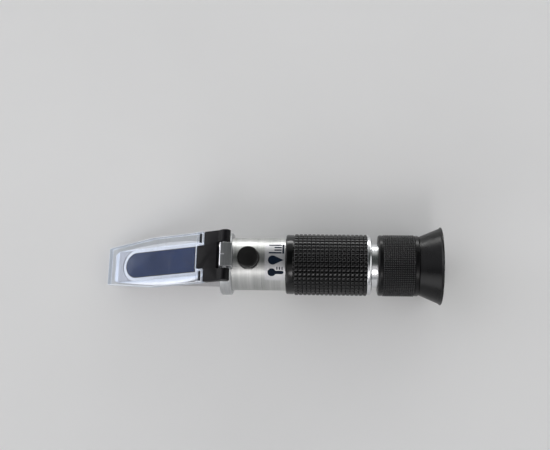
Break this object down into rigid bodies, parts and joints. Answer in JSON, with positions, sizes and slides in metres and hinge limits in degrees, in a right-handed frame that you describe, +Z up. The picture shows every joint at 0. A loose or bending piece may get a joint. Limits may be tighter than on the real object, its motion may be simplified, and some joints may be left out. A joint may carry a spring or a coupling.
{
  "type": "refractometer",
  "caption": "Hand-held optical refractometer with a sloped prism under a hinged clear cover, calibration tube, knobbed rubber grip and focusing eyepiece with a flared eyecup.",
  "frame": {"origin": "on the optical axis, midway between the cover plate's tip and the eyecup's rim", "axes": "+X along the optical axis towards the eyecup, +Z up through the calibration cap, +Y to the left when looking through the eyepiece towards the prism"},
  "size_m": [0.16, 0.0364, 0.0377],
  "materials": {
    "satin_aluminium": "satin, turned around the axis",
    "chrome": "polished",
    "steel": "turned",
    "brass": "turned",
    "black_anodised": "black anodised, satin",
    "rubber": "moulded, satin",
    "black_plastic": "satin moulded",
    "label": "pale matt film",
    "prism_glass": "polished",
    "lens_glass": "polished",
    "clear_acrylic": "clear, polished"
  },
  "bodies": {
    "body": {"prism_seat": "satin_aluminium", "measuring_prism": "prism_glass", "prism_seal": "rubber", "head_seal": "rubber", "main_tube": "satin_aluminium", "barrel_label": "label", "calibration_bush": "brass", "bimetal_strip": "brass", "strip_screw": "steel", "aperture_stop": "black_anodised", "grip_sleeve": "rubber", "grip_end_ring": "chrome", "eyepiece_neck": "chrome", "reticle_holder": "black_anodised", "reticle": "lens_glass", "reticle_retainer": "black_anodised", "focus_o_ring": "rubber"},
    "cover": {"daylight_plate": "clear_acrylic", "plate_bracket": "black_plastic", "hinge_pin": "steel"},
    "cap": {"calibration_cap": "rubber"},
    "objective": {"objective_carrier": "black_anodised", "objective_lens": "lens_glass", "objective_retainer": "brass"},
    "screw": {"calibration_screw": "steel"},
    "cell": {"eyepiece_cell": "black_anodised", "field_lens": "lens_glass", "lens_spacer": "black_anodised", "eye_lens": "lens_glass", "lens_retainer": "black_anodised"},
    "ring": {"focus_ring": "black_anodised", "eyecup": "rubber"}
  },
  "joints": [
    {"name": "cover_hinge", "type": "hinge", "parent": "body", "child": "cover", "pos_m": [-0.0203, 0, 0.0169], "axis": [0, 1, 0], "range_deg": [0, 110]},
    {"name": "cap_pull", "type": "slide", "parent": "body", "child": "cap", "axis": [0, 0, 1], "range_m": [0, 0.012]},
    {"name": "objective_shift", "type": "slide", "parent": "body", "child": "objective", "axis": [0, 0, 1], "range_m": [-0.0004, 0.0004]},
    {"name": "screw_turn", "type": "hinge", "parent": "objective", "child": "screw", "pos_m": [-0.0098, 0, 0.007], "axis": [0, 0, 1], "range_deg": [-288, 288]},
    {"name": "focus_travel", "type": "slide", "parent": "body", "child": "cell", "axis": [1, 0, 0], "range_m": [-0.002, 0.002]},
    {"name": "focus_turn", "type": "hinge", "parent": "cell", "child": "ring", "pos_m": [0.06, 0, 0], "axis": [1, 0, 0], "range_deg": [-180, 180]}
  ],
  "couplings": [
    {"joint": "screw_turn", "follows": "objective_shift", "rad_per_m": 12566},
    {"joint": "focus_travel", "follows": "focus_turn", "m_per_rad": 0.00063661}
  ]
}
